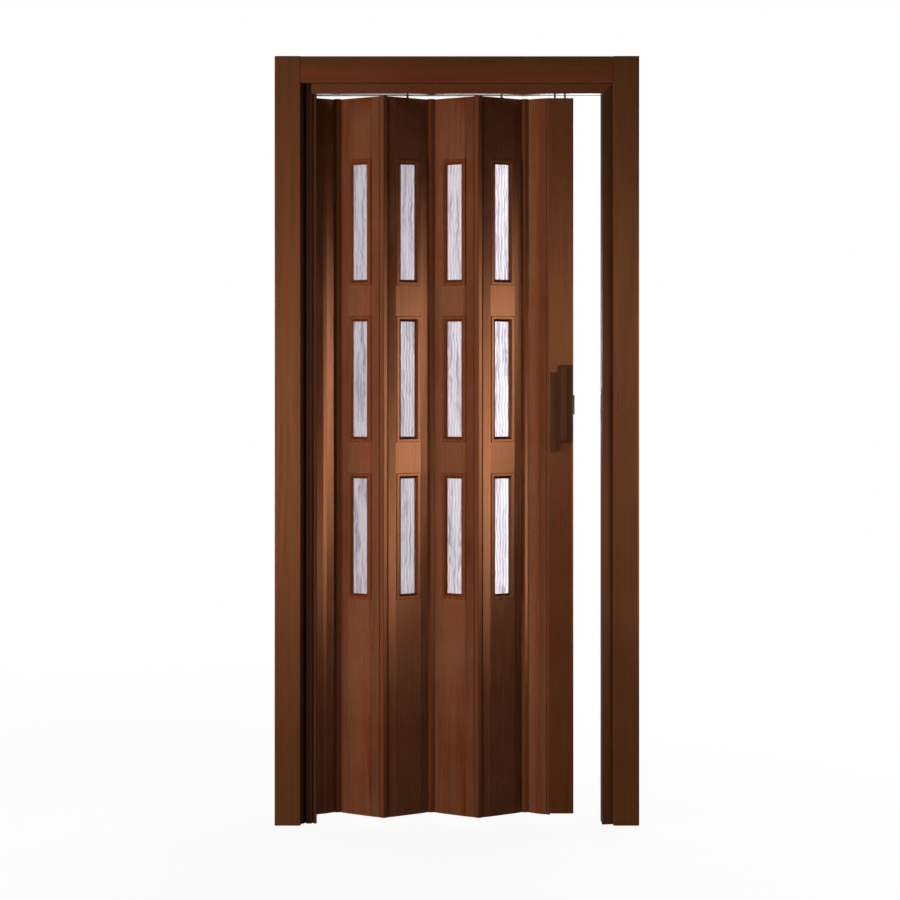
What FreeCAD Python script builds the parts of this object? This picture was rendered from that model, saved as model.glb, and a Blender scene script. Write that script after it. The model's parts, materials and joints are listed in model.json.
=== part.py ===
"""A panelled accordion door hung in a cased doorway, partly open.

Millimetres, +Z up. The origin lies on the wall face of the left lining, at its
foot and half way through its depth. +X runs across the doorway to the right and
-Y faces whoever looks at the front of the door.
"""
import FreeCAD, Part
import os
import re

import Sketcher

doc = FreeCAD.newDocument("FoldingDoor")

# How close two coordinates are when they are taken as the same
NEAR = 0.01

# Driving dimensions, in millimetres and degrees
SIZES = {
    # Doorway and casings
    "doorway_width": 866,
    "doorway_height": 2056,
    "lining_thick": 20,
    "lining_depth": 100,
    "casing_width": 72,
    "head_casing_height": 74,
    "casing_thick": 12,
    "casing_outer_round": 5,
    "casing_inner_round": 2.5,
    # Folded leaf
    "leaf_setback": 45,
    "slat_pitch": 149,
    "least_fold": 20,
    "open_gap": 78,
    "head_gap": 7.5,
    "floor_gap": 20,
    "slat_thick": 9,
    "slat_edge_thick": 5,
    "shoulder_width": 22,
    "bead_reach": 8,
    "clip_gap": 1.2,
    "bead_radius": 2.6,
    "neck_thick": 2,
    "fit_gap": 0.3,
    # Hinge strips
    "clip_wall": 1.4,
    "hinge_web": 1.6,
    "hinge_crest_round": 3,
    "hinge_bulge": 2,
    "mouth_clearance": 0.4,
    "hinge_overrun": 1.5,
    # Windows
    "pane_width": 44,
    "pane_height": 321,
    "pane_thick": 3,
    "window_rows": 3,
    "window_head_margin": 186.5,
    "window_gap": 116.5,
    "sleeve_wall": 3,
    "sleeve_gap": 0.2,
    "moulding_face": 15,
    "moulding_proud": 3,
    "moulding_round": 1.6,
    "moulding_slope": 7,
    "moulding_fall": 5.2,
    # Track and rails
    "track_height": 28.5,
    "trim_outer_setback": 17,
    "trim_inner_setback": 12,
    "track_back": 20,
    "track_wall": 3,
    "track_slot": 11,
    "wall_rail_lip": 30,
    "wall_rail_front": 1.5,
    "wall_rail_cove": 14,
    "wall_rail_cove_depth": 18,
    "rail_lip_setback": 24,
    "rail_groove_width": 5,
    "rail_groove_depth": 6,
    "rail_bead_width": 8.5,
    "rail_bead_round": 3,
    "nose_tip": 1.9,
    "nose_wall": 2,
    "nose_round": 3,
    "nose_neck_gap": 2,
    "mouth_margin": 10,
    "strike_rail_width": 30,
    "strike_groove_half": 5,
    "strike_groove_depth": 3,
    # Closing post
    "post_width": 65,
    "post_thick": 26,
    "post_round": 5,
    "post_head_gap": 9.5,
    "post_floor_gap": 26,
    "post_groove_half": 4,
    "post_groove_depth": 3,
    # Hangers
    "pin_radius": 2.4,
    "shoe_radius": 4.2,
    "shoe_height": 2,
    "glider_long": 22,
    "glider_overlap": 3.5,
    "glider_tall": 7,
    "glider_round": 2,
    "post_pin_edge": 14,
    "post_pin_spacing": 28,
    # Handles and latch
    "handle_base": 1032,
    "handle_height": 242,
    "handle_edge_gap": 7,
    "plate_width": 21.5,
    "plate_height": 222,
    "plate_thick": 6,
    "grip_height": 214,
    "grip_thick": 17,
    "grip_ridge_width": 17,
    "grip_ridge_proud": 5,
    "grip_slant": 22,
    "handle_round": 2.5,
    "ridge_inset": 6,
    "latch_base": 1137,
    "latch_height": 54,
    "latch_proud": 4,
    "latch_round": 2.5,
    "strike_plate_margin": 18,
    "strike_plate_thick": 1.5,
    "strike_plate_width": 24,
}

# Sizes and places worked out from the driving dimensions
PLACES = {
    "casing_front": "-lining_depth / 2 - casing_thick",
    "left_face": "lining_thick",
    "right_face": "lining_thick + doorway_width",
    "leaf_plane": "casing_front + leaf_setback",
    "socket_radius": "bead_radius + fit_gap",
    "clip_radius": "socket_radius + clip_wall",
    "slat_edge_reach": "bead_reach + clip_radius + clip_gap",
    "nose_reach": "socket_radius + nose_tip",
    "nose_half": "socket_radius + nose_wall",
    "half_slat_neck": "nose_reach + nose_neck_gap",
    "lip_face": "left_face + wall_rail_lip",
    "wall_socket": "lip_face + socket_radius",
    "track_end": "right_face - strike_rail_width",
    "post_end": "track_end - open_gap",
    "post_edge": "post_end - post_width",
    "post_socket": "post_edge - socket_radius",
    "post_nose": "post_socket - nose_reach",
    "leaf_span": "post_socket - wall_socket",
    "slat_count": "ceil(leaf_span / (slat_pitch * cos(least_fold))) - 1",
    "fold_angle": "acos(leaf_span / ((slat_count + 1) * slat_pitch)) / 1deg",
    "half_pitch": "slat_pitch / 2",
    "slat_across": "slat_pitch * cos(fold_angle)",
    "slat_deep": "slat_pitch * sin(fold_angle)",
    "first_valley": "wall_socket + slat_across / 2",
    "valley_plane": "leaf_plane + slat_deep / 2",
    "ridge_plane": "leaf_plane - slat_deep / 2",
    "track_bottom": "doorway_height - track_height",
    "lip_top": "track_bottom + track_wall",
    "slat_top": "track_bottom - head_gap",
    "slat_length": "slat_top - floor_gap",
    "window_pitch": "pane_height + window_gap",
    "top_window": "slat_length - window_head_margin - pane_height / 2",
    "low_window": "top_window - (window_rows - 1) * window_pitch",
    "post_length": "track_bottom - post_head_gap - post_floor_gap",
    "post_top": "post_floor_gap + post_length",
    "post_front": "leaf_plane - post_thick / 2",
    "post_back": "leaf_plane + post_thick / 2",
    "glider_wide": "track_slot + 2 * glider_overlap",
}

sheets = {}
for title, cells in (("Sizes", SIZES), ("Places", PLACES)):
    sheets[title] = doc.addObject("Spreadsheet::Sheet", title)


def tied(text):
    """A formula with each named value written as the cell that holds it."""
    def cell(word):
        name = word.group()
        if name in SIZES:
            return "Sizes." + name
        return "Places." + name if name in PLACES else name
    return re.sub(r"[a-z_]+", cell, str(text))


for row, (name, size) in enumerate(SIZES.items(), start=1):
    sheets["Sizes"].set(f"A{row}", name)
    sheets["Sizes"].set(f"B{row}", str(size))
    sheets["Sizes"].setAlias(f"B{row}", name)
for row, (name, formula) in enumerate(PLACES.items(), start=1):
    sheets["Places"].set(f"A{row}", name)
    sheets["Places"].set(f"B{row}", "=" + tied(formula).replace("Places.", ""))
    sheets["Places"].setAlias(f"B{row}", name)
doc.recompute()


def number(text):
    """What a formula comes to with the sheet's present sizes."""
    return float(sheets["Sizes"].evalExpression(tied(text)))


# How many whole slats the span of the leaf takes
SLATS = round(number("slat_count"))


def place(piece, base=(0, 0, 0), turn=0):
    """Tie a piece's position, and its turn about the upright axis, to the sheet."""
    upright_axis = FreeCAD.Vector(0, 0, 1)
    started = 1
    piece.Placement.Rotation = FreeCAD.Rotation(upright_axis, started)
    for axis, formula in zip("xyz", base):
        piece.setExpression(f".Placement.Base.{axis}", tied(formula))
    piece.setExpression(".Placement.Rotation.Angle", tied(turn))


def body(name, base=(0, 0, 0), turn=0):
    piece = doc.addObject("PartDesign::Body", name)
    piece.AllowCompound = True
    place(piece, base, turn)
    return piece


def sketch_on(piece, name, plane="XY_Plane", offset="0"):
    """An empty sketch, a given distance out from one of the body's own planes."""
    sketch = piece.newObject("Sketcher::SketchObject", name)
    origin = [f for f in piece.Origin.OriginFeatures if f.Role == plane]
    sketch.AttachmentSupport = (origin[0], "")
    sketch.MapMode = "FlatFace"
    sketch.setExpression(".AttachmentOffset.Base.z", tied(offset))
    return sketch


def outline(piece, name, corners, plane="XY_Plane", offset="0"):
    """A closed sketch of straight edges whose corners are tied to the sheet."""
    sketch = sketch_on(piece, name, plane, offset)
    loop(sketch, corners)
    return sketch


def circle(piece, name, x, y, radius, offset="0"):
    """A sketch of one circle whose centre and radius are tied to the sheet."""
    sketch = sketch_on(piece, name, offset=offset)
    centre = FreeCAD.Vector(number(x), number(y), 0)
    ring = Part.Circle(centre, FreeCAD.Vector(0, 0, 1), number(radius))
    sketch.addGeometry(ring, False)
    constraints = (
        (Sketcher.Constraint("Radius", 0, ring.Radius), radius),
        (Sketcher.Constraint("DistanceX", -1, 1, 0, 3, centre.x), x),
        (Sketcher.Constraint("DistanceY", -1, 1, 0, 3, centre.y), y),
    )
    for constraint, formula in constraints:
        held = sketch.addConstraint(constraint)
        sketch.setExpression(f"Constraints[{held}]", tied(formula))
    return sketch


def loop(sketch, corners):
    """Add one closed loop of straight edges to a sketch."""
    first = sketch.GeometryCount
    spots = [FreeCAD.Vector(number(x), number(y), 0) for x, y in corners]
    count = len(corners)
    for i in range(count):
        edge = Part.LineSegment(spots[i], spots[(i + 1) % count])
        sketch.addGeometry(edge, False)
    for i in range(count):
        following = first + (i + 1) % count
        sketch.addConstraint(Sketcher.Constraint("Coincident", first + i, 2, following, 1))
    for i, corner in enumerate(corners):
        for kind, spot, formula in zip(("DistanceX", "DistanceY"), spots[i], corner):
            fixed = Sketcher.Constraint(kind, -1, 1, first + i, 1, spot)
            held = sketch.addConstraint(fixed)
            sketch.setExpression(f"Constraints[{held}]", tied(formula))


def pad(piece, sketch, length, name, backwards=False):
    feature = piece.newObject("PartDesign::Pad", name)
    feature.Profile = sketch
    feature.setExpression("Length", tied(length))
    feature.Reversed = backwards
    sketch.Visibility = False
    return feature


def pocket(piece, sketch, name):
    """A cut right through the body, to both sides of the sketch."""
    feature = piece.newObject("PartDesign::Pocket", name)
    feature.Profile = sketch
    feature.Type = "ThroughAll"
    feature.Midplane = True
    sketch.Visibility = False
    return feature


def edges_at(shape, spots, along=2):
    """Names of the straight edges along one axis that pass through the given spots."""
    names = []
    across = [i for i in range(3) if i != along]
    for index, edge in enumerate(shape.Edges, start=1):
        ends = [vertex.Point for vertex in edge.Vertexes]
        if len(ends) != 2 or abs(ends[0][along] - ends[1][along]) < edge.Length - NEAR:
            continue
        for spot in spots:
            if all(abs(ends[0][i] - number(f)) < NEAR for i, f in zip(across, spot)):
                names.append(f"Edge{index}")
    return names


def soften(piece, kind, size, spots, name, along=2):
    """A fillet or chamfer on the edges of a body that pass through the given spots."""
    doc.recompute()
    dress(piece, kind, size, edges_at(piece.Tip.Shape, spots, along), name)


def rim(piece, middle, depth):
    """Names of the edges round the faces that lie a given depth from a middle plane."""
    doc.recompute()
    level = number(middle)
    out = number(depth)
    names = []
    for index, edge in enumerate(piece.Tip.Shape.Edges, start=1):
        ends = [vertex.Point for vertex in edge.Vertexes]
        if any(abs(abs(end.y - level) - out) > NEAR for end in ends):
            continue
        names.append(f"Edge{index}")
    return names


def dress(piece, kind, size, edges, name):
    """Put a fillet or chamfer on named edges of a body's last feature."""
    base = piece.Tip
    feature = piece.newObject(f"PartDesign::{kind}", name)
    feature.Base = (base, edges)
    feature.setExpression("Radius" if kind == "Fillet" else "Size", tied(size))


def rectangle(x0, y0, x1, y1):
    return [(x0, y0), (x1, y0), (x1, y1), (x0, y1)]


def upright(name, corners, length, base=(0, 0, 0), turn=0):
    """A straight extrusion that stands on its own foot."""
    piece = body(name, base, turn)
    sketch = outline(piece, name + "_section", corners)
    pad(piece, sketch, length, name + "_length")
    return piece


def lying(name, corners, length, start):
    """A straight extrusion along X, from a section drawn in Y and Z."""
    piece = body(name, (start, 0, 0))
    sketch = outline(piece, name + "_section", corners, "YZ_Plane")
    pad(piece, sketch, length, name + "_length")
    return piece


def linings():
    near = "-lining_depth / 2"
    far = "lining_depth / 2"
    for name, start in (("left_lining", "0"), ("right_lining", "right_face")):
        section = rectangle(start, near, f"{start} + lining_thick", far)
        upright(name, section, "doorway_height")
    head = rectangle(near, "doorway_height", far, "doorway_height + lining_thick")
    lying("head_lining", head, "right_face + lining_thick", "0")


def casings():
    """Flat casings with rounded edges, on both faces of the wall."""
    full_height = "doorway_height + head_casing_height"
    for back, side in (("", "-"), ("_back", "")):
        wall = f"{side}lining_depth / 2"
        face = f"{side}(lining_depth / 2 + casing_thick)"
        left = "left_face - casing_width"
        right = "right_face + casing_width"
        for hand, inner, outer in (("left", "left_face", left), ("right", "right_face", right)):
            section = rectangle(inner, wall, outer, face)
            piece = upright(f"{hand}{back}_casing", section, full_height)
            soften(piece, "Fillet", "casing_outer_round", [(outer, face)], "outer_round")
            soften(piece, "Fillet", "casing_inner_round", [(inner, face)], "inner_round")
        section = rectangle(wall, "doorway_height", face, full_height)
        piece = lying(f"head{back}_casing", section, "doorway_width", "left_face")
        lower = [(face, "doorway_height")]
        upper = [(face, full_height)]
        soften(piece, "Fillet", "casing_inner_round", lower, "lower_round", 0)
        soften(piece, "Fillet", "casing_outer_round", upper, "upper_round", 0)


def top_track():
    front = "casing_front + trim_outer_setback"
    lower_front = "casing_front + trim_inner_setback"
    slot_front = "leaf_plane - track_slot / 2"
    slot_back = "leaf_plane + track_slot / 2"
    back = "leaf_plane + track_back"
    inner_front = f"{front} + track_wall"
    inner_back = "leaf_plane + track_back - track_wall"
    ceiling = "doorway_height - track_wall"
    section = [
        (front, "doorway_height"),
        (lower_front, "track_bottom"),
        (slot_front, "track_bottom"),
        (slot_front, "lip_top"),
        (inner_front, "lip_top"),
        (inner_front, ceiling),
        (inner_back, ceiling),
        (inner_back, "lip_top"),
        (slot_back, "lip_top"),
        (slot_back, "track_bottom"),
        (back, "track_bottom"),
        (back, "doorway_height"),
    ]
    piece = lying("top_track", section, "right_face - lip_face", "lip_face")
    mitre(piece, "lip_face", "track_bottom")


def mitre(piece, start, level):
    """Cut the corner where the track meets the strike rail, on the track's or rail's side."""
    corner = [
        (f"track_end - {start}", "track_bottom"),
        (f"right_face - {start}", "doorway_height"),
        (f"track_end - {start}" if level == "doorway_height" else f"right_face - {start}", level),
    ]
    pocket(piece, outline(piece, "mitre_section", corner, "XZ_Plane"), "mitre")


def socket(piece, x, y, side):
    """A round channel for a slat's bead, with a mouth that widens outwards."""
    bore = circle(piece, "socket_section", x, y, "socket_radius")
    pocket(piece, bore, "socket")
    reach = "2 * nose_reach"
    half = f"{reach} * tan(fold_angle + mouth_margin)"
    across = f"{x} {side} {reach}"
    opening = [(x, y), (across, f"{y} - {half}"), (across, f"{y} + {half}")]
    wedge = outline(piece, "mouth_section", opening)
    pocket(piece, wedge, "mouth")


def wall_rail():
    """The rail on the left lining whose round channel holds the first half slat."""
    front = "casing_front + trim_outer_setback"
    cove = "left_face + wall_rail_cove"
    lip = "casing_front + rail_lip_setback"
    groove = f"{lip} + rail_groove_depth"
    back = "leaf_plane + track_back"
    nose_end = "wall_socket + nose_reach"
    bead = "lip_face + rail_groove_width"
    bead_end = f"{bead} + rail_bead_width"
    section = [
        ("left_face", back),
        ("left_face", front),
        ("left_face + wall_rail_front", front),
        (cove, f"{front} + wall_rail_cove_depth"),
        (cove, lip),
        ("lip_face", lip),
        ("lip_face", groove),
        (bead, groove),
        (bead, lip),
        (bead_end, lip),
        (bead_end, groove),
        (nose_end, "leaf_plane - nose_half"),
        (nose_end, "leaf_plane + nose_half"),
        ("lip_face", "leaf_plane + nose_half"),
        ("lip_face", back),
    ]
    piece = upright("wall_rail", section, "doorway_height")
    soften(piece, "Fillet", "nose_round", [(nose_end, "leaf_plane + nose_half")], "nose_round")
    soften(piece, "Fillet", "rail_bead_round", [(bead, lip), (bead_end, lip)], "bead_round")
    socket(piece, "wall_socket", "leaf_plane", "+")


def strike_rail():
    """The rail on the right lining that the closing post shuts against."""
    front = "casing_front + trim_outer_setback"
    inner_front = "casing_front + trim_inner_setback"
    back = "leaf_plane + track_back"
    groove = "track_end + strike_groove_depth"
    section = [
        ("right_face", front),
        ("right_face", back),
        ("track_end", back),
        ("track_end", "leaf_plane + strike_groove_half"),
        (groove, "leaf_plane + strike_groove_half"),
        (groove, "leaf_plane - strike_groove_half"),
        ("track_end", "leaf_plane - strike_groove_half"),
        ("track_end", inner_front),
    ]
    piece = upright("strike_rail", section, "doorway_height")
    mitre(piece, "0", "doorway_height")


def slat(name, base, turn, glazed):
    """One slat, drawn flat from the fold at its left edge and turned into place.

    A glazed slat runs from fold to fold. A half slat has its far bead in a rail.
    """
    left = "bead_reach"
    left_body = "slat_edge_reach"
    right = "slat_pitch - bead_reach" if glazed else "half_pitch"
    right_body = "slat_pitch - slat_edge_reach" if glazed else "half_pitch - half_slat_neck"
    neck = "neck_thick / 2"
    edge = "slat_edge_thick / 2"
    face = "slat_thick / 2"
    upper = [
        (right, neck),
        (right_body, neck),
        (right_body, edge),
        (f"{right_body} - shoulder_width", face),
        (f"{left_body} + shoulder_width", face),
        (left_body, edge),
        (left_body, neck),
        (left, neck),
    ]
    lower = [(x, f"-{y}") for x, y in reversed(upper)]
    piece = upright(name, upper + lower, "slat_length", base, turn)
    for end, centre in (("near", left), ("far", right)):
        bead = circle(piece, f"{end}_bead_section", centre, "0", "bead_radius")
        pad(piece, bead, "slat_length", f"{end}_bead")
    if glazed:
        hole = sketch_on(piece, "window_hole", "XZ_Plane")
        loop(hole, window_ring("half_pitch", "low_window", "sleeve_wall + sleeve_gap"))
        cut = pocket(piece, hole, "window_cut")
        repeat_up(piece, cut)
    return piece


def repeat_up(piece, feature):
    """Copies of one feature, a window pitch apart up the slat."""
    rows = piece.newObject("PartDesign::LinearPattern", feature.Name + "_rows")
    rows.Originals = [feature]
    upward = [f for f in piece.Origin.OriginFeatures if f.Role == "Z_Axis"]
    rows.Direction = (upward[0], [""])
    rows.setExpression("Length", tied("(window_rows - 1) * window_pitch"))
    rows.setExpression("Occurrences", tied("window_rows"))
    piece.Tip = rows
    return rows


def slat_frame(index):
    """Where slat number 1 to 4 starts and which way it is turned."""
    start = f"first_valley + {index - 1} * slat_across"
    leads_forward = index % 2 == 1
    plane = "valley_plane" if leads_forward else "ridge_plane"
    turn = "-fold_angle" if leads_forward else "fold_angle"
    return start, plane, turn


def slats():
    start = ("first_valley", "valley_plane", "floor_gap")
    slat("starter_slat", start, "180 + fold_angle", False)
    for index in range(1, SLATS + 1):
        x, plane, turn = slat_frame(index)
        slat(f"slat_{index}", (x, plane, "floor_gap"), turn, True)
    x, plane, turn = slat_frame(SLATS + 1)
    slat("lead_slat", (x, plane, "floor_gap"), turn, False)


def window_ring(middle, level, margin):
    """A rectangle round one window, grown by a margin beyond the pane's opening."""
    wide = f"(pane_width / 2 + {margin})"
    tall = f"(pane_height / 2 + {margin})"
    return rectangle(f"{middle} - {wide}", f"{level} - {tall}",
                     f"{middle} + {wide}", f"{level} + {tall}")


def window_rings(sketch, middle, *margins):
    """Rectangles round each window of a slat, one for each margin."""
    for row in range(SIZES["window_rows"]):
        for margin in margins:
            level = f"low_window + {row} * window_pitch"
            loop(sketch, window_ring(middle, level, margin))


def window_frames(index, side):
    """Three mouldings on one face of a slat, each with a sleeve that reaches the pane."""
    start, plane, turn = slat_frame(index)
    piece = body(f"slat_{index}_{side}_frames", (start, plane, "floor_gap"), turn)
    # A sketch on the XZ plane faces -Y, which is the front of the slat
    sign = "" if side == "front" else "-"
    backwards = side == "back"
    face = sketch_on(piece, "moulding_section", "XZ_Plane", f"{sign}slat_thick / 2")
    window_rings(face, "half_pitch", "moulding_face", "0")
    moulding = pad(piece, face, "moulding_proud", "moulding", backwards)
    sleeve = sketch_on(piece, "sleeve_section", "XZ_Plane", f"{sign}pane_thick / 2")
    window_rings(sleeve, "half_pitch", "sleeve_wall", "0")
    pad(piece, sleeve, "(slat_thick - pane_thick) / 2", "sleeve", backwards)
    surface = "slat_thick / 2 + moulding_proud"
    dress(piece, "Fillet", "moulding_round", rim(piece, "0", surface), "outer_round")
    opening = sketch_on(piece, "slope_section", "XZ_Plane", f"{sign}({surface})")
    window_rings(opening, "half_pitch", "moulding_slope")
    slope = pocket(piece, opening, "slope")
    slope.Type = "Length"
    slope.Midplane = False
    slope.Reversed = backwards
    slope.setExpression("Length", tied("moulding_fall"))
    slope.setExpression("TaperAngle", tied("-atan(moulding_slope / moulding_fall)"))


def panes(index):
    """Three ribbed clear panes, each held between the sleeves of two mouldings."""
    start, plane, turn = slat_frame(index)
    piece = body(f"slat_{index}_panes", (start, plane, "floor_gap"), turn)
    sheet = sketch_on(piece, "pane_section", "XZ_Plane", "-pane_thick / 2")
    window_rings(sheet, "half_pitch", "sleeve_wall")
    pad(piece, sheet, "pane_thick", "pane")


def windows():
    for index in range(1, SLATS + 1):
        window_frames(index, "front")
        window_frames(index, "back")
        panes(index)


def hinge(name, x, plane, turn):
    """A flexible strip whose two round clips grip the beads of neighbouring slats.

    A web joins the clips on each face, so that the strip is a soft tube between them.
    """
    piece = body(name, (x, plane, "floor_gap"), turn)
    tall = "slat_length + hinge_overrun"
    across = "bead_reach * cos(fold_angle)"
    back = "-bead_reach * sin(fold_angle)"
    for hand, side in (("left", "-"), ("right", "")):
        ring = circle(piece, f"{hand}_clip_section", f"{side}{across}", back, "clip_radius")
        pad(piece, ring, tall, f"{hand}_clip")
    crest = "clip_radius / cos(fold_angle)"
    inner = "(clip_radius - hinge_web)"
    web = [
        (f"{across} + clip_radius * sin(fold_angle)", f"{back} + clip_radius * cos(fold_angle)"),
        ("0", crest),
        (f"-{across} - clip_radius * sin(fold_angle)", f"{back} + clip_radius * cos(fold_angle)"),
        (f"-{across} - {inner} * sin(fold_angle)", f"{back} + {inner} * cos(fold_angle)"),
        ("0", f"{inner} / cos(fold_angle)"),
        (f"{across} + {inner} * sin(fold_angle)", f"{back} + {inner} * cos(fold_angle)"),
    ]
    pad(piece, outline(piece, "web_section", web), tall, "web")
    soften(piece, "Fillet", "hinge_crest_round", [("0", crest)], "crest_round")
    bulge = f"{back} - clip_radius - hinge_bulge"
    fold_web = [
        (across, f"{back} - clip_radius"),
        ("0", bulge),
        (f"-{across}", f"{back} - clip_radius"),
        (f"-{across}", f"{back} - {inner}"),
        ("0", f"{bulge} + hinge_web"),
        (across, f"{back} - {inner}"),
    ]
    pad(piece, outline(piece, "fold_web_section", fold_web), tall, "fold_web")
    soften(piece, "Fillet", "hinge_crest_round", [("0", bulge)], "fold_round")
    half = "(neck_thick / 2 + mouth_clearance)"
    for hand, side in (("left", "-"), ("right", "")):
        bore = circle(piece, f"{hand}_bore_section", f"{side}{across}", back, "socket_radius")
        pocket(piece, bore, f"{hand}_bore")
        reach = "2 * slat_edge_reach"
        mouth = [
            (f"{side}({across} + {half} * sin(fold_angle))",
             f"{back} + {half} * cos(fold_angle)"),
            (f"{side}({across} - {half} * sin(fold_angle))",
             f"{back} - {half} * cos(fold_angle)"),
            (f"{side}({reach} * cos(fold_angle) - {half} * sin(fold_angle))",
             f"-{reach} * sin(fold_angle) - {half} * cos(fold_angle)"),
            (f"{side}({reach} * cos(fold_angle) + {half} * sin(fold_angle))",
             f"-{reach} * sin(fold_angle) + {half} * cos(fold_angle)"),
        ]
        slot = outline(piece, f"{hand}_mouth_section", mouth)
        pocket(piece, slot, f"{hand}_mouth")


def hinges():
    for fold in range(SLATS + 1):
        x = f"first_valley + {fold} * slat_across"
        if fold % 2 == 0:
            hinge(f"valley_hinge_{fold // 2 + 1}", x, "valley_plane", "0")
        else:
            hinge(f"ridge_hinge_{fold // 2 + 1}", x, "ridge_plane", "180")


def closing_post():
    """The hollow-edged post at the leading end, gripped like the slats at its left."""
    groove = "post_end - post_groove_depth"
    section = [
        ("post_nose", "post_back"),
        ("post_nose", "post_front"),
        ("post_end", "post_front"),
        ("post_end", "leaf_plane - post_groove_half"),
        (groove, "leaf_plane - post_groove_half"),
        (groove, "leaf_plane + post_groove_half"),
        ("post_end", "leaf_plane + post_groove_half"),
        ("post_end", "post_back"),
    ]
    piece = upright("closing_post", section, "post_length", ("0", "0", "post_floor_gap"))
    corners = [(x, y) for x in ("post_nose", "post_end") for y in ("post_front", "post_back")]
    soften(piece, "Fillet", "post_round", corners, "corner_round")
    socket(piece, "post_socket", "leaf_plane", "-")


def hanger(piece, x, foot, name):
    """A pin that stands on the leaf and ends in a glider lying on the track's lips."""
    shoe = circle(piece, name + "_shoe_section", x, "leaf_plane", "shoe_radius", foot)
    pad(piece, shoe, "shoe_height", name + "_shoe")
    pin = circle(piece, name + "_pin_section", x, "leaf_plane", "pin_radius", foot)
    pad(piece, pin, f"lip_top + glider_tall - ({foot})", name + "_pin")
    block = rectangle(f"{x} - glider_long / 2", "leaf_plane - glider_wide / 2",
                      f"{x} + glider_long / 2", "leaf_plane + glider_wide / 2")
    glider = outline(piece, name + "_glider_section", block, offset="lip_top")
    pad(piece, glider, "glider_tall", name + "_glider")
    soften(piece, "Fillet", "glider_round", block, name + "_glider_round")


def hangers():
    for index in range(2, SLATS + 1, 2):
        piece = body(f"slat_{index}_hanger")
        middle = f"first_valley + {index - 0.5} * slat_across"
        hanger(piece, middle, "slat_top", "slat")
    piece = body("post_hangers")
    for count in range(2):
        x = f"post_edge + post_pin_edge + {count} * post_pin_spacing"
        hanger(piece, x, "post_top", f"post_{count + 1}")


def handle(side):
    """A moulded handle: a low plate beside a raised grip with a ridge along it."""
    piece = body(f"{side}_handle")
    sign = "" if side == "front" else "-"
    backwards = side == "back"
    surface = "-post_front" if side == "front" else "-post_back"
    left = "post_nose + handle_edge_gap"
    inner = f"{left} + plate_width"
    right = "post_end - handle_round"
    top = "handle_base + handle_height"
    grip_base = f"{top} - grip_height"
    plate = rectangle(left, "handle_base", inner, "handle_base + plate_height")
    grip = [
        (inner, f"{grip_base} - grip_slant"),
        (f"{inner} + grip_slant / 2", grip_base),
        (right, grip_base),
        (right, top),
        (inner, top),
    ]
    pad(piece, outline(piece, "plate_section", plate, "XZ_Plane", surface),
        "plate_thick", "plate", backwards)
    pad(piece, outline(piece, "grip_section", grip, "XZ_Plane", surface),
        "grip_thick", "grip", backwards)
    raised = f"{surface} {'+' if side == 'front' else '-'} grip_thick"
    ridge = rectangle(f"{inner} + ridge_inset", f"{grip_base} + ridge_inset",
                      f"{inner} + ridge_inset + grip_ridge_width", f"{top} - ridge_inset")
    front_edges = rim(piece, "leaf_plane", "post_thick / 2 + grip_thick")
    dress(piece, "Fillet", "handle_round", front_edges, "grip_round")
    pad(piece, outline(piece, "ridge_section", ridge, "XZ_Plane", raised),
        "grip_ridge_proud", "ridge", backwards)


def latch():
    """The catch in the post's edge, level with the grip."""
    groove = "post_end - post_groove_depth"
    section = rectangle(groove, "leaf_plane - (post_groove_half - sleeve_gap)",
                        "post_end + latch_proud", "leaf_plane + post_groove_half - sleeve_gap")
    piece = upright("latch", section, "latch_height", ("0", "0", "latch_base"))
    nose = [("post_end + latch_proud", f"leaf_plane {side} (post_groove_half - sleeve_gap)")
            for side in "-+"]
    soften(piece, "Fillet", "latch_round", nose, "nose_round")


def strike_plate():
    """A thin plate on the strike rail with an opening where the latch goes in."""
    piece = body("strike_plate")
    foot = "latch_base - strike_plate_margin"
    top = "latch_base + latch_height + strike_plate_margin"
    sketch = outline(
        piece,
        "plate_section",
        rectangle("leaf_plane - strike_plate_width / 2", foot,
                  "leaf_plane + strike_plate_width / 2", top),
        "YZ_Plane",
        "track_end - strike_plate_thick",
    )
    loop(sketch, rectangle("leaf_plane - strike_groove_half", "latch_base",
                           "leaf_plane + strike_groove_half", "latch_base + latch_height"))
    pad(piece, sketch, "strike_plate_thick", "plate")


def check_and_write():
    doc.recompute()
    broken = [item.Label for item in doc.Objects
              if "Invalid" in item.State or "Error" in item.State]
    if broken:
        raise RuntimeError(f"failed features: {broken}")
    os.makedirs("parts", exist_ok=True)
    for item in doc.Objects:
        if item.TypeId != "PartDesign::Body":
            continue
        shape = item.Shape
        if shape.isNull() or not shape.isValid() or not shape.Solids:
            raise RuntimeError(f"{item.Label} has no valid solid")
        shape.exportStep(f"parts/{item.Label}.step")
        print(f"{item.Label}: {len(shape.Solids)} solid, {shape.Volume / 1000:.1f} cm3")


linings()
casings()
top_track()
wall_rail()
strike_rail()
slats()
windows()
hinges()
closing_post()
hangers()
handle("front")
handle("back")
latch()
strike_plate()
check_and_write()
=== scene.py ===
# %% [markdown]
# A brown accordion door, hung from a head track in a cased doorway and shown part
# open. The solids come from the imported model, in metres, with +Z up, +X to the
# right across the doorway and -Y out of the front. This script gives them their
# finish: foil with a printed grain, soft vinyl hinges and ribbed panes.

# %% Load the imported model
import json
import math

import bmesh
import bpy
from mathutils import Matrix, Vector


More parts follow.
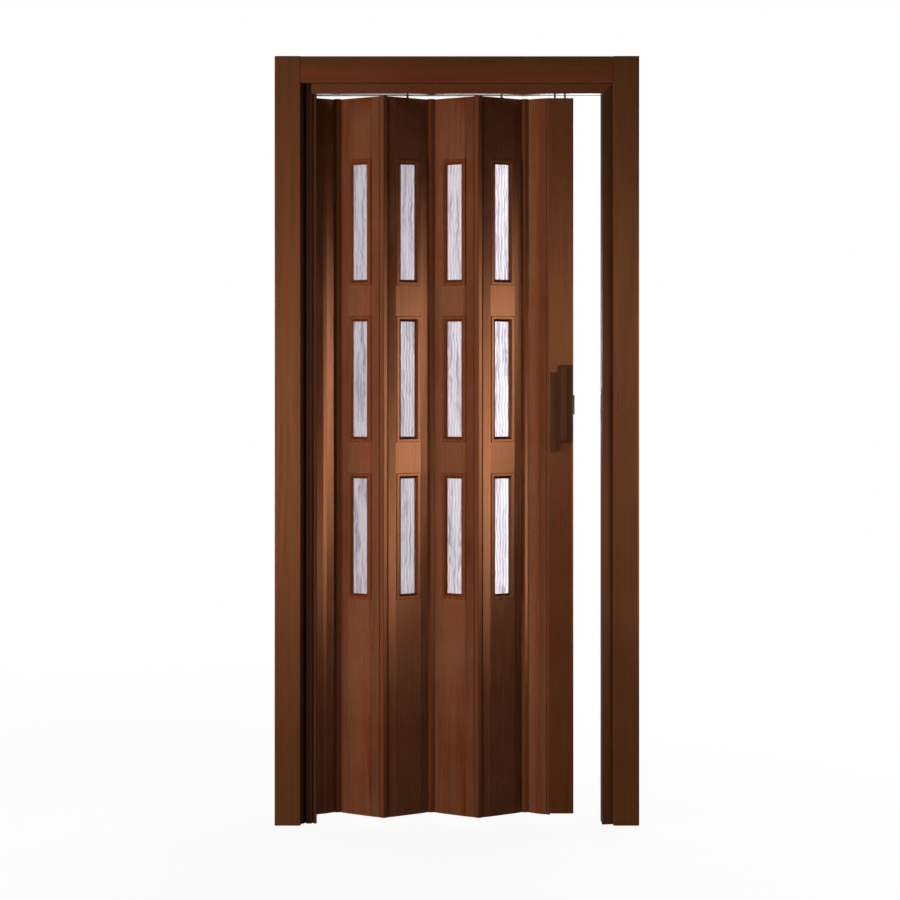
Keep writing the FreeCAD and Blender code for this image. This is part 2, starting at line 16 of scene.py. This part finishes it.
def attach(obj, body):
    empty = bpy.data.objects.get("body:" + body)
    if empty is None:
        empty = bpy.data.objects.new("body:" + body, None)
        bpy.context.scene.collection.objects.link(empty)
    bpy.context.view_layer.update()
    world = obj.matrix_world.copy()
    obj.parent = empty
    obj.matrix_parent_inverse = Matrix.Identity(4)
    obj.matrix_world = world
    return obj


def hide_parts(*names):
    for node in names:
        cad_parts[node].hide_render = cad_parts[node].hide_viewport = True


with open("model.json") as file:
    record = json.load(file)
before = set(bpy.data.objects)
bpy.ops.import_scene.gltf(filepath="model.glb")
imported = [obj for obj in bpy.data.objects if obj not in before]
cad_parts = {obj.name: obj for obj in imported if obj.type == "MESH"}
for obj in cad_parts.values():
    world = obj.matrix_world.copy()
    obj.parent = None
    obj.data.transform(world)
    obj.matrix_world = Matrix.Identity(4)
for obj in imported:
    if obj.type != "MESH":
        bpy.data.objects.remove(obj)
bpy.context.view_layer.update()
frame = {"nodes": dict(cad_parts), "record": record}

MM = 0.001
nodes = frame["nodes"]
slots = {part["node"]: part["material_slot"] for part in frame["record"]["subparts"]}

# %% [markdown]
# The photograph was taken from a little left of the middle of the doorway, at a
# standing adult's chest height, with a long lens held level. The camera could be
# turned to face the door, but then the jambs would lean. A level camera keeps them
# parallel, and a small shift puts the door in the middle of the frame.

# %% Camera
FRAME_PIXELS = 900
SENSOR_WIDTH = 36
EYE = Vector((0.384, -5.162, 1.261))
PIXELS_PER_METRE_AT_CASING = 361.45
CASING_DISTANCE = 5.1
AXIS_PIXEL = (432, 370)

camera_data = bpy.data.cameras.new("camera")
camera = bpy.data.objects.new("camera", camera_data)
bpy.context.scene.collection.objects.link(camera)
camera.location = EYE
camera.rotation_euler = (math.radians(90), 0, 0)
focal_pixels = PIXELS_PER_METRE_AT_CASING * CASING_DISTANCE
camera_data.sensor_width = SENSOR_WIDTH
camera_data.lens = focal_pixels * SENSOR_WIDTH / FRAME_PIXELS
camera_data.shift_x = (FRAME_PIXELS / 2 - AXIS_PIXEL[0]) / FRAME_PIXELS
camera_data.shift_y = (AXIS_PIXEL[1] - FRAME_PIXELS / 2) / FRAME_PIXELS
bpy.context.scene.camera = camera
bpy.context.scene.view_settings.view_transform = "Standard"
print("lens", round(camera_data.lens, 1), "shift", camera_data.shift_x, camera_data.shift_y)

# %% [markdown]
# Every finish on this door is a tree of shader nodes. Wired one by one, each tree
# would repeat the same lines, so these helpers add one node or one common step:
# a place on the object, the same place with one axis squeezed so that round noise
# grows long on it, noise, a moved range of values, and a mix of two colours.

# %% Helpers for shader nodes
def add(tree, kind, inputs=None, **settings):
    """A node with its settings, and each named input set to a value or wired to a socket."""
    node = tree.nodes.new(kind)
    for name, value in settings.items():
        setattr(node, name, value)
    for name, value in (inputs or {}).items():
        if isinstance(value, bpy.types.NodeSocket):
            tree.links.new(value, node.inputs[name])
        else:
            node.inputs[name].default_value = value
    return node


def maths(tree, operation, first, second):
    """The sum, product or the like of two values."""
    return add(tree, "ShaderNodeMath", {0: first, 1: second}, operation=operation).outputs[0]


def spot(tree):
    """Where a point lies on its object."""
    return add(tree, "ShaderNodeTexCoord").outputs["Object"]


def squeezed(tree, place, axis, share):
    """A place with one axis squeezed to a share of its length."""
    mapping = add(tree, "ShaderNodeMapping", {"Vector": place})
    mapping.inputs["Scale"].default_value["xyz".index(axis)] = share
    return mapping.outputs[0]


def noise(tree, place, scale, detail, roughness=0.5):
    """Cloudy noise, as a node that puts out a value and a colour."""
    return add(tree, "ShaderNodeTexNoise", {"Vector": place, "Scale": scale,
                                            "Detail": detail, "Roughness": roughness})


def spread(tree, value, start=(0.0, 1.0), end=(0.0, 1.0), **settings):
    """A value moved from one range to another, and kept inside it."""
    inputs = {"Value": value, "From Min": start[0], "From Max": start[1],
              "To Min": end[0], "To Max": end[1]}
    return add(tree, "ShaderNodeMapRange", inputs, **settings).outputs[0]


def blend(tree, share, first, second):
    """A mix of two colours."""
    inputs = {"Factor": share, "A": first, "B": second}
    return add(tree, "ShaderNodeMix", inputs, data_type="RGBA").outputs["Result"]


print("helpers", [helper.__name__ for helper in (spot, squeezed, noise, spread, blend)])

# %% [markdown]
# Browns are easier to judge as they look on a screen than as the renderer counts
# light, so they are written in screen values and worked out here. A material starts
# as Blender makes it, with one main shader.

# %% Helpers for materials
def new_material(name):
    """A material, its tree and its main shader."""
    material = bpy.data.materials.new(name)
    material.use_nodes = True
    tree = material.node_tree
    return material, tree, tree.nodes["Principled BSDF"]


def colour(red, green, blue):
    """A colour written as it looks on a screen, in parts of 255, as the renderer needs it."""
    def linear(part):
        part = part / 255
        return part / 12.92 if part <= 0.04045 else ((part + 0.055) / 1.055) ** 2.4
    return (linear(red), linear(green), linear(blue), 1)


print("middle grey", [round(part, 3) for part in colour(128, 128, 128)])

# %% [markdown]
# The slats, rails and casings are wrapped in foil printed with a straight grain. A
# picture of wood could be wrapped round each piece, but it would repeat and need
# unwrapping. Noise that is long along the wood needs neither: wide bands turn the
# brown redder or greyer, narrow streaks darken it, and short pores fleck it. It is a
# node group, a small machine with named sockets that all the foils share. Whoever
# feeds its vector chooses the way the grain runs.

# %% Printed grain, shared by every foil
FLOAT, COLOUR, VECTOR = "NodeSocketFloat", "NodeSocketColor", "NodeSocketVector"
BAND_SCALE, BAND_RANGE = 34.0, (0.38, 0.62)
STREAK_SCALE, STREAK_RANGE, STREAK_ROUGHNESS = 150.0, (0.46, 0.66), 0.62
PORE_SCALE, PORE_RANGE, PORE_SHARE = 520.0, (0.58, 0.72), 0.35


def new_group(name, inputs, outputs):
    """An empty shader node group with named inputs and outputs."""
    group = bpy.data.node_groups.new(name, "ShaderNodeTree")
    for label, kind in inputs:
        group.interface.new_socket(label, in_out="INPUT", socket_type=kind)
    for label, kind in outputs:
        group.interface.new_socket(label, in_out="OUTPUT", socket_type=kind)
    return group, group.nodes.new("NodeGroupInput"), group.nodes.new("NodeGroupOutput")


def build_grain():
    group, given, result = new_group(
        "printed_grain",
        [("Vector", VECTOR), ("Base", COLOUR), ("Warm", COLOUR), ("Dark", COLOUR),
         ("Contrast", FLOAT), ("Offset", FLOAT)],
        [("Color", COLOUR), ("Height", FLOAT), ("Gloss", FLOAT)],
    )
    moved = add(group, "ShaderNodeVectorMath", {0: given.outputs["Vector"],
                                               1: given.outputs["Offset"]}, operation="ADD")
    place = moved.outputs[0]
    bands = noise(group, place, BAND_SCALE, detail=3.0).outputs["Fac"]
    streaks = noise(group, place, STREAK_SCALE, detail=5.0,
                    roughness=STREAK_ROUGHNESS).outputs["Fac"]
    pores = noise(group, place, PORE_SCALE, detail=2.0).outputs["Fac"]
    warmth = spread(group, bands, BAND_RANGE)
    warm = blend(group, warmth, given.outputs["Base"], given.outputs["Warm"])
    drawn = spread(group, streaks, STREAK_RANGE)
    pitted = spread(group, pores, PORE_RANGE)
    marks = add(group, "ShaderNodeMath", {0: pitted, 1: PORE_SHARE, 2: drawn},
                operation="MULTIPLY_ADD", use_clamp=True).outputs[0]
    shade = maths(group, "MULTIPLY", marks, given.outputs["Contrast"])
    tone = blend(group, shade, warm, given.outputs["Dark"])
    height = maths(group, "SUBTRACT", bands, marks)
    group.links.new(tone, result.inputs["Color"])
    group.links.new(height, result.inputs["Height"])
    group.links.new(drawn, result.inputs["Gloss"])
    return group


GRAIN = build_grain()
print(GRAIN.name, "has", len(GRAIN.nodes), "nodes")

# %% [markdown]
# A door that is used is a little duller and paler along its arrises, where hands
# and sleeves rub the foil. The edges could be painted one by one. Pointiness finds
# them from the mesh itself, so one group serves every foil.

# %% Worn edges, shared by every foil
EDGE_RANGE = (0.52, 0.60)
PATCH_SCALE = 6.0
SMUDGE = 0.05


def build_wear():
    group, given, result = new_group(
        "worn_edges",
        [("Color", COLOUR), ("Worn", COLOUR), ("Amount", FLOAT), ("Roughness", FLOAT)],
        [("Color", COLOUR), ("Roughness", FLOAT)],
    )
    patches = noise(group, spot(group), PATCH_SCALE, detail=5.0).outputs["Fac"]
    geometry = add(group, "ShaderNodeNewGeometry")
    edge = spread(group, geometry.outputs["Pointiness"], EDGE_RANGE)
    worn = maths(group, "MULTIPLY", edge, patches)
    worn = maths(group, "MULTIPLY", worn, given.outputs["Amount"])
    tone = blend(group, worn, given.outputs["Color"], given.outputs["Worn"])
    smudge = spread(group, patches, end=(-SMUDGE, SMUDGE))
    rough = maths(group, "ADD", smudge, given.outputs["Roughness"])
    group.links.new(tone, result.inputs["Color"])
    group.links.new(rough, result.inputs["Roughness"])
    return group


WEAR = build_wear()
print(WEAR.name, "has", len(WEAR.nodes), "nodes")

# %% [markdown]
# One function makes every foil, because they differ only in tone, gloss and the
# way their grain runs. The lacquer over the print is tinted, so even the sheen is
# orange. A clear coat over the brown would reflect white, so the tint goes to the
# shader's own specular socket instead.

# %% One function for every foil
GRAIN_SQUEEZE = 0.02
LACQUER_TINT = (1.0, 0.38, 0.16, 1)
LACQUER_LEVEL = 1.0
PRINT_RELIEF, PRINT_STRENGTH = 0.06 * MM, 0.6
STREAK_DULLING = 0.05
WORN_TONE, WORN_AMOUNT = (0.3, 0.17, 0.1, 1), 0.35


def foil(name, base, warm, dark, roughness, contrast, along="z", offset=0.0,
         level=LACQUER_LEVEL):
    """A satin foil whose printed grain runs along one axis."""
    material, tree, shader = new_material(name)
    shader.inputs["Specular Tint"].default_value = LACQUER_TINT
    shader.inputs["Specular IOR Level"].default_value = level
    place = squeezed(tree, spot(tree), along, GRAIN_SQUEEZE)
    grain = add(tree, "ShaderNodeGroup", {"Vector": place, "Base": base, "Warm": warm,
                                          "Dark": dark, "Contrast": contrast,
                                          "Offset": offset}, node_tree=GRAIN)
    dulled = spread(tree, grain.outputs["Gloss"], end=(roughness, roughness + STREAK_DULLING))
    wear = add(tree, "ShaderNodeGroup", {"Color": grain.outputs["Color"], "Worn": WORN_TONE,
                                         "Amount": WORN_AMOUNT, "Roughness": dulled},
               node_tree=WEAR)
    bump = add(tree, "ShaderNodeBump", {"Height": grain.outputs["Height"],
                                        "Distance": PRINT_RELIEF, "Strength": PRINT_STRENGTH})
    tree.links.new(wear.outputs["Color"], shader.inputs["Base Color"])
    tree.links.new(wear.outputs["Roughness"], shader.inputs["Roughness"])
    tree.links.new(bump.outputs[0], shader.inputs["Normal"])
    return material


print("foil helper ready, grain squeezed to", GRAIN_SQUEEZE)

# %% [markdown]
# The brown isn't the same all over the door. The slats are the reddest, the casings
# are browner, and the rails are matt. The half slat at the post and the hinge beside
# it are paler and greyer: that is a painted reflection of white light on them. One
# foil could serve them all, but the door would look cast in one piece. Each foil has a
# base, a warm and a dark brown, and its own offset, so that no two print the same
# streaks. The head casing and the track lie down, so their grain runs along the
# doorway.

# %% Foils of this door
SLAT_FOIL = foil("slat_foil", colour(100, 40, 8), colour(111, 39, 6),
                 colour(64, 25, 5), roughness=0.25, contrast=0.8)
# A paler, greyer copy of the slat foil: a painted reflection of white light on the half slat at
# the post.
LEAD_PAINTED_SHEEN_FOIL = foil("lead_slat_painted_sheen_foil", colour(112, 60, 34), colour(120, 58, 30),
                 colour(82, 44, 26), roughness=0.25, contrast=0.65, offset=1.4)
CASING_FOIL = foil("casing_foil", colour(92, 50, 22), colour(98, 45, 18),
                   colour(64, 32, 13), roughness=0.29, contrast=0.5, offset=3.1)
HEAD_FOIL = foil("head_casing_foil", colour(84, 45, 13), colour(112, 42, 14),
                 colour(52, 29, 10), roughness=0.29, contrast=0.65, along="x", offset=5.7)
RAIL_FOIL = foil("rail_foil", colour(80, 42, 26), colour(84, 39, 25),
                 colour(58, 30, 19), roughness=0.42, contrast=0.4, offset=7.3, level=0.4)
TRACK_FOIL = foil("track_foil", colour(112, 62, 36), colour(118, 58, 34),
                  colour(84, 46, 28), roughness=0.32, contrast=0.4, along="x", offset=8.9,
                  level=0.7)
POST_FOIL = foil("post_foil", colour(88, 46, 18), colour(102, 42, 17),
                 colour(56, 28, 11), roughness=0.26, contrast=0.55, offset=11.0)
MOULDING_FOIL = foil("moulding_foil", colour(102, 47, 18), colour(108, 44, 15),
                     colour(76, 35, 12), roughness=0.26, contrast=0.35, offset=2.2)
HINGE_VINYL = foil("hinge_vinyl", colour(92, 46, 20), colour(98, 42, 17),
                   colour(66, 31, 12), roughness=0.30, contrast=0.35, offset=9.4)
HANDLE_PLASTIC = foil("handle_plastic", colour(62, 36, 22), colour(62, 30, 22),
                      colour(46, 28, 16), roughness=0.34, contrast=0.3, offset=4.4,
                      level=0.5)

FINISHES = {
    "casing_foil": CASING_FOIL, "lining_foil": CASING_FOIL, "rail_foil": RAIL_FOIL,
    "slat_foil": SLAT_FOIL, "post_foil": POST_FOIL, "moulding_foil": MOULDING_FOIL,
    "hinge_vinyl": HINGE_VINYL, "handle_plastic": HANDLE_PLASTIC,
}
NODE_FINISHES = {
    # The half slat at the post and the hinge beside it carry that painted reflection.
    "lead_slat": LEAD_PAINTED_SHEEN_FOIL, "valley_hinge_3": LEAD_PAINTED_SHEEN_FOIL,
    "head_casing": HEAD_FOIL, "head_back_casing": HEAD_FOIL, "head_lining": HEAD_FOIL,
    "top_track": TRACK_FOIL,
}
print("foils for slots", sorted(FINISHES), "and for nodes", sorted(NODE_FINISHES))

# %% [markdown]
# The hangers are dark nylon and the strike plate is bronzed steel. Neither has a
# grain. A single flat colour would look like paint, so each has a faint mottle in
# its tone and its gloss.

# %% Nylon and bronzed steel
MOTTLE_SCALE = 40.0
MOTTLE_SHADE = 0.7
MOTTLE_GLOSS = 0.08
MOTTLE_RELIEF, MOTTLE_STRENGTH = 0.1 * MM, 0.4


def plain(name, base, roughness, metallic=0.0):
    """A plain finish with a mottled gloss and a very fine bump."""
    material, tree, shader = new_material(name)
    shader.inputs["Metallic"].default_value = metallic
    mottle = noise(tree, spot(tree), MOTTLE_SCALE, detail=4.0).outputs["Fac"]
    darker = tuple(MOTTLE_SHADE * part for part in base[:3]) + (1,)
    tone = blend(tree, mottle, base, darker)
    gloss = spread(tree, mottle, end=(roughness - MOTTLE_GLOSS, roughness + MOTTLE_GLOSS))
    bump = add(tree, "ShaderNodeBump", {"Height": mottle, "Distance": MOTTLE_RELIEF,
                                        "Strength": MOTTLE_STRENGTH})
    tree.links.new(tone, shader.inputs["Base Color"])
    tree.links.new(gloss, shader.inputs["Roughness"])
    tree.links.new(bump.outputs[0], shader.inputs["Normal"])
    return material


FINISHES["hanger_nylon"] = plain("hanger_nylon", colour(58, 40, 32), roughness=0.5)
FINISHES["plate_steel"] = plain("plate_steel", colour(120, 98, 74), roughness=0.35,
                                metallic=1.0)
print("finishes", len(FINISHES))

# %% [markdown]
# The panes are clear plastic sheet pressed with upright ripples. They glow because
# they pass the light behind them, so the material is mostly transmission, with
# enough roughness that nothing behind shows as an outline. Every fine ripple could
# be modelled, but the finest are under a millimetre wide. Thin wavering lines in the
# tone stand for their steep flanks, which turn light away.

# %% Rippled sheet
PANE_TRANSMISSION, PANE_IOR = 0.85, 1.49
PANE_CLEAR, PANE_DARK = colour(206, 198, 206), colour(124, 118, 134)
PANE_ROUGHNESS = (0.25, 0.4)
LINE_SCALE, LINE_RANGE, LINE_STRENGTH = 120.0, (0.5, 0.66), 0.75
LINE_SQUEEZE = 0.04
DRIFT_SCALE = 26.0
LINE_DRIFT = (0.016, 0.016, 0.0)


def pane_material():
    material, tree, shader = new_material("rippled_sheet")
    shader.inputs["Transmission Weight"].default_value = PANE_TRANSMISSION
    shader.inputs["IOR"].default_value = PANE_IOR
    place = spot(tree)
    drift = noise(tree, place, DRIFT_SCALE, detail=1.0).outputs["Color"]
    bent = add(tree, "ShaderNodeVectorMath", {0: drift, 1: LINE_DRIFT, 2: place},
               operation="MULTIPLY_ADD")
    upright = squeezed(tree, bent.outputs[0], "z", LINE_SQUEEZE)
    lines = noise(tree, upright, LINE_SCALE, detail=3.0).outputs["Fac"]
    flanks = spread(tree, lines, LINE_RANGE, (0.0, LINE_STRENGTH))
    tone = blend(tree, flanks, PANE_CLEAR, PANE_DARK)
    gloss = spread(tree, lines, end=PANE_ROUGHNESS)
    tree.links.new(tone, shader.inputs["Base Color"])
    tree.links.new(gloss, shader.inputs["Roughness"])
    return material


PANE = pane_material()
print(PANE.name, "passes", PANE_TRANSMISSION, "of the light")

# %% [markdown]
# Real arrises are never knife sharp. A Bevel modifier finds no edge to round between
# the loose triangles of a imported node, so each rigid node is copied: the triangles
# are welded, flat neighbours are joined into whole faces, and the sharp edges get a
# small bevel. The copy stands for the node. A slat also has a shoulder at each side
# that bends away from its flat by a few degrees, and there a wide bevel makes the
# soft arc of the real section.

# %% Soften the edges of the rigid pieces
FLAT = math.radians(1)
SHARP = math.radians(28)
SHOULDER = math.radians(10)
SHOULDER_REACH = 7 * MM
SHOULDER_STEPS = 6
NEARLY_UPRIGHT = 0.9
WELD = 0.01 * MM
BEVEL_STEPS = 2
FULL_WEIGHT = 100
BEVELS = {"casing_foil": 0.6 * MM, "lining_foil": 0.6 * MM, "rail_foil": 0.5 * MM,
          "slat_foil": 0.35 * MM, "post_foil": 0.5 * MM, "moulding_foil": 0.4 * MM,
          "hinge_vinyl": 0.2 * MM, "handle_plastic": 0.6 * MM, "hanger_nylon": 0.3 * MM,
          "plate_steel": 0.2 * MM}


def finish_piece(mesh_data, name, material):
    """Link a finished mesh as a piece of the one fixed body."""
    piece = bpy.data.objects.new(name, mesh_data)
    bpy.context.scene.collection.objects.link(piece)
    mesh_data.materials.clear()
    mesh_data.materials.append(material)
    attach(piece, "root")
    return piece


def welded_copy(node):
    """A node's triangles as one joined shape."""
    shape = bmesh.new()
    shape.from_mesh(nodes[node].data)
    bmesh.ops.remove_doubles(shape, verts=shape.verts, dist=WELD)
    return shape


def bevel(shape, edges, width, steps):
    """Round some edges of a shape with a given number of facets."""
    bmesh.ops.bevel(shape, geom=edges, offset=width, offset_type="OFFSET", affect="EDGES",
                    segments=steps, profile=0.5, material=-1, clamp_overlap=True)


def is_shoulder(edge):
    """Whether an edge is the faint upright crease between a slat's flat and its shoulder."""
    rise = abs(edge.verts[0].co.z - edge.verts[1].co.z)
    return (edge.is_manifold and FLAT < edge.calc_face_angle(0) < SHOULDER
            and rise > NEARLY_UPRIGHT * edge.calc_length())


def softened(node):
    """A bevelled copy of a node, which stands for it."""
    shape = welded_copy(node)
    bmesh.ops.dissolve_limit(shape, angle_limit=FLAT, verts=shape.verts,
                             edges=shape.edges, use_dissolve_boundaries=False)
    if slots[node] == "slat_foil":
        bevel(shape, [e for e in shape.edges if is_shoulder(e)], SHOULDER_REACH, SHOULDER_STEPS)
    sharp = [e for e in shape.edges if e.is_manifold and e.calc_face_angle(0) > SHARP]
    bevel(shape, sharp, BEVELS[slots[node]], BEVEL_STEPS)
    for face in shape.faces:
        face.smooth = True
    mesh_data = bpy.data.meshes.new(node + "_softened")
    shape.to_mesh(mesh_data)
    shape.free()
    material = NODE_FINISHES.get(node, FINISHES[slots[node]])
    piece = finish_piece(mesh_data, node + "_piece", material)
    piece.data.set_sharp_from_angle(angle=SHARP)
    even = piece.modifiers.new("even_shading", "WEIGHTED_NORMAL")
    even.keep_sharp = True
    even.weight = FULL_WEIGHT
    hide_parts(node)
    return piece


softened_pieces = [softened(node) for node in sorted(nodes) if slots[node] != "ribbed_pane"]
print("softened", len(softened_pieces))

# %% [markdown]
# Each pane is a sheet with upright ribs. A flat pane with a bump would look flat at
# its edges and in its mesh, so the ribs are real: a grid of points on the
# middle plane of the slat is rippled by a sine whose phase wanders up the pane, as
# in pressed sheet, and then thickened. The grid is made upright at the origin and
# carried to the slat by one matrix, worked out from the corners of the imported pane.

# %% Rippled panes
RIB_PITCH = 9 * MM
RIB_DEPTH = 0.5 * MM
WANDER, WANDER_LENGTH = 1.6 * MM, 95 * MM
SECOND_WANDER, SECOND_LENGTH, SECOND_START = 0.5, 0.37, 2.1
SEED_PER_PANE, SEED_PER_METRE = 1.7, 9.0
PANE_THICK = 3 * MM
PANE_CLEARANCE = 0.3 * MM
SHEET_THICK = 1.6 * MM
COLUMNS, ROWS = 72, 56


def solid_islands(node):
    """The separate solids of a node from the bottom up, each as a list of points."""
    shape = welded_copy(node)
    left = set(shape.verts)
    islands = []
    while left:
        front = [left.pop()]
        island = []
        while front:
            vert = front.pop()
            island.append(vert.co.copy())
            for edge in vert.link_edges:
                other = edge.other_vert(vert)
                if other in left:
                    left.remove(other)
                    front.append(other)
        islands.append(island)
    shape.free()
    return sorted(islands, key=lambda points: points[0].z)


def pane_size(points):
    """Centre, half width and half height of a thin upright box."""
    centre = sum(points, Vector()) / len(points)
    reach = max(Vector((p.x - centre.x, p.y - centre.y, 0)).length for p in points)
    half_wide = math.sqrt(reach ** 2 - (PANE_THICK / 2) ** 2)
    half_tall = max(abs(p.z - centre.z) for p in points)
    return centre, half_wide, half_tall


def ripple(x, z, seed):
    """How far the sheet's middle lies from flat at one spot."""
    full = 2 * math.pi
    phase = WANDER * math.sin(full * z / WANDER_LENGTH + seed)
    second = full * z / (SECOND_LENGTH * WANDER_LENGTH) + SECOND_START * seed
    phase += SECOND_WANDER * WANDER * math.sin(second)
    return RIB_DEPTH * math.sin(full * (x + phase) / RIB_PITCH + seed)


def slat_turn(node):
    """The angle of a slat, from the outermost corners of its panes."""
    points = [v.co for v in nodes[node].data.vertices]
    left = min(points, key=lambda p: p.x)
    right = max(points, key=lambda p: p.x)
    return math.atan2(right.y - left.y, right.x - left.x)


def rippled_panes(node):
    """The three panes of a slat as one piece, which stands for their node."""
    turn = Matrix.Rotation(slat_turn(node), 4, "Z")
    shape = bmesh.new()
    for count, points in enumerate(solid_islands(node)):
        centre, half_wide, half_tall = pane_size(points)
        seed = SEED_PER_PANE * count + SEED_PER_METRE * centre.x
        made = bmesh.ops.create_grid(shape, x_segments=COLUMNS, y_segments=ROWS, size=1)
        for vert in made["verts"]:
            x = vert.co.x * (half_wide - PANE_CLEARANCE)
            z = vert.co.y * (half_tall - PANE_CLEARANCE)
            vert.co = Vector((x, ripple(x, z, seed), z))
        bmesh.ops.transform(shape, matrix=Matrix.Translation(centre) @ turn,
                            verts=made["verts"])
    for face in shape.faces:
        face.smooth = True
    bmesh.ops.recalc_face_normals(shape, faces=shape.faces)
    mesh_data = bpy.data.meshes.new(node + "_rippled")
    shape.to_mesh(mesh_data)
    shape.free()
    piece = finish_piece(mesh_data, node + "_rippled", PANE)
    wall = piece.modifiers.new("thickness", "SOLIDIFY")
    wall.thickness = SHEET_THICK
    wall.offset = 0
    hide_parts(node)
    return piece


for node in sorted(name for name in nodes if slots[name] == "ribbed_pane"):
    piece = rippled_panes(node)
    print(piece.name, "turned", round(math.degrees(slat_turn(node)), 1), "degrees")

# %% [markdown]
# The backdrop is white, and the pale floor fades into it a few metres away. A world
# bright enough to look white would also fill the folds with light. So the white is
# only for rays from the camera and through a pane, and the rest of the light from
# the sky is weak and even, which keeps the folds dark.

# %% World
AMBIENT = 0.07


def seen_directly(tree):
    """1 for a ray from the camera or through a pane, and 0 for any other."""
    path = add(tree, "ShaderNodeLightPath")
    return maths(tree, "MAXIMUM", path.outputs["Is Camera Ray"],
                 path.outputs["Is Transmission Ray"])


world = bpy.data.worlds.new("world")
bpy.context.scene.world = world
world.use_nodes = True
sky = world.node_tree
background = sky.nodes["Background"]
strength = spread(sky, seen_directly(sky), end=(AMBIENT, 1.0))
sky.links.new(strength, background.inputs["Strength"])
background.inputs["Color"].default_value = (1, 1, 1, 1)
print("sky light", AMBIENT)

# %% [markdown]
# The floor is a plain pale sheet that keeps the door's shadow. A sheet that ends
# would show an edge against the backdrop, and one that only glows would lose the
# shadow. This one mixes a white glow with a lit surface: near the door there is just
# enough surface to carry the shadow, and further out it is all glow, as white as the
# backdrop. To other rays it is a mid grey, so that it throws little light up into
# the folds.

# %% Floor
FLOOR_HALF = 12
FLOOR_GLOW = 0.92
FLOOR_ROUGHNESS = 0.8
FADE_RANGE = (0.8, 3.0)
FLOOR_SEEN, FLOOR_UNSEEN = colour(232, 232, 232), colour(128, 126, 124)

floor_shape = bmesh.new()
bmesh.ops.create_grid(floor_shape, x_segments=1, y_segments=1, size=FLOOR_HALF)
floor_mesh = bpy.data.meshes.new("floor")
floor_shape.to_mesh(floor_mesh)
floor_shape.free()
floor = bpy.data.objects.new("floor", floor_mesh)
bpy.context.scene.collection.objects.link(floor)

paving, floor_tree, floor_shader = new_material("pale_floor")
floor_shader.inputs["Roughness"].default_value = FLOOR_ROUGHNESS
glow = add(floor_tree, "ShaderNodeEmission", {"Strength": 1.0})
seen = seen_directly(floor_tree)
floor_tone = blend(floor_tree, seen, FLOOR_UNSEEN, FLOOR_SEEN)
floor_tree.links.new(floor_tone, floor_shader.inputs["Base Color"])
reach = add(floor_tree, "ShaderNodeVectorMath", {0: spot(floor_tree)}, operation="LENGTH")
fade = spread(floor_tree, reach.outputs["Value"], FADE_RANGE, (FLOOR_GLOW, 1.0),
              interpolation_type="SMOOTHSTEP")
share = maths(floor_tree, "MULTIPLY", seen, fade)
surface = add(floor_tree, "ShaderNodeMixShader", {"Fac": share, 1: floor_shader.outputs[0],
                                                  2: glow.outputs[0]})
floor_tree.links.new(surface.outputs[0], floor_tree.nodes["Material Output"].inputs["Surface"])
floor_mesh.materials.append(paving)
print("floor", 2 * FLOOR_HALF, "m across")

# %% [markdown]
# A satin door shows its lamps twice: as light on its faces and as long reflections
# in its lacquer. One lamp could do both, but a fold that is dark and still glossy
# needs light that is only mirrored, so most lamps here do one of the two. They are
# placed by compass: an angle round the door from straight in front, a distance and a
# height. A tall key on the left lights every slat that faces left, and its narrow
# sheen is mirrored there. Tilted windows on the right are mirrored by the slats that
# face right, and a long tilted band in front by everything that faces straight out.
# A weak fill lights the sides. The same lamps stand behind the door, so the back is
# lit as the front is. One strip is for the left casing, one lamp hangs overhead, and
# one behind the door shines through the panes.

# %% Lamps
DOOR_MIDDLE = 0.38


def around(angle, distance, height):
    """A spot at an angle round the door, in degrees from straight in front to the right."""
    turn = math.radians(angle)
    return Vector((DOOR_MIDDLE + distance * math.sin(turn), -distance * math.cos(turn), height))


def lamp(name, angle, distance, height, size, power, roll=0.0, mirrored=True, lights=True,
         aim=None):
    """A soft rectangular lamp that faces the door, rolled about its own axis.

    One that isn't mirrored only lights, and one that doesn't light is only mirrored.
    It is level unless it has a height to aim at.
    """
    data = bpy.data.lights.new(name, "AREA")
    data.shape = "RECTANGLE"
    data.size, data.size_y = size
    data.energy = power
    thing = bpy.data.objects.new(name, data)
    thing.visible_camera = False
    thing.visible_transmission = False
    thing.visible_glossy = mirrored
    thing.visible_diffuse = lights
    bpy.context.scene.collection.objects.link(thing)
    place = around(angle, distance, height)
    target = Vector((DOOR_MIDDLE, 0, height if aim is None else aim))
    facing = (target - place).to_track_quat("-Z", "Y")
    thing.matrix_world = (Matrix.Translation(place) @ facing.to_matrix().to_4x4()
                          @ Matrix.Rotation(math.radians(roll), 4, "Z"))
    return thing


for side, turn in (("front", 0), ("back", 180)):
    lamp(f"{side}_key", angle=turn - 57, distance=3.4, height=0.8, size=(0.7, 3.0),
         power=122, mirrored=False)
    lamp(f"{side}_key_sheen", angle=turn - 53, distance=4.5, height=1.0, size=(0.6, 3.2),
         power=5, lights=False)
    lamp(f"{side}_window", angle=turn + 50, distance=1.8, height=0.94, size=(1.4, 0.45),
         power=10.5, roll=63, lights=False)
    lamp(f"{side}_far_window", angle=turn + 62, distance=1.8, height=1.2, size=(1.3, 0.45),
         power=6.5, roll=63, lights=False)
    lamp(f"{side}_band", angle=turn, distance=6.0, height=1.12, size=(3.6, 0.4),
         power=26, roll=27, lights=False)
    lamp(f"{side}_side_fill", angle=turn + 100, distance=4.0, height=1.3, size=(2.0, 2.4),
         power=22)
lamp("left_casing_strip", angle=-9, distance=6.0, height=1.1, size=(0.7, 3.2), power=13,
     lights=False)
lamp("overhead", angle=0, distance=0.2, height=4.4, size=(1.6, 1.6), power=14, aim=1.0)
pane_glow = lamp("pane_glow", angle=154, distance=3.4, height=1.2, size=(2.2, 2.6), power=74)
pane_glow.visible_transmission = True
print("lamps", len(bpy.data.lights))
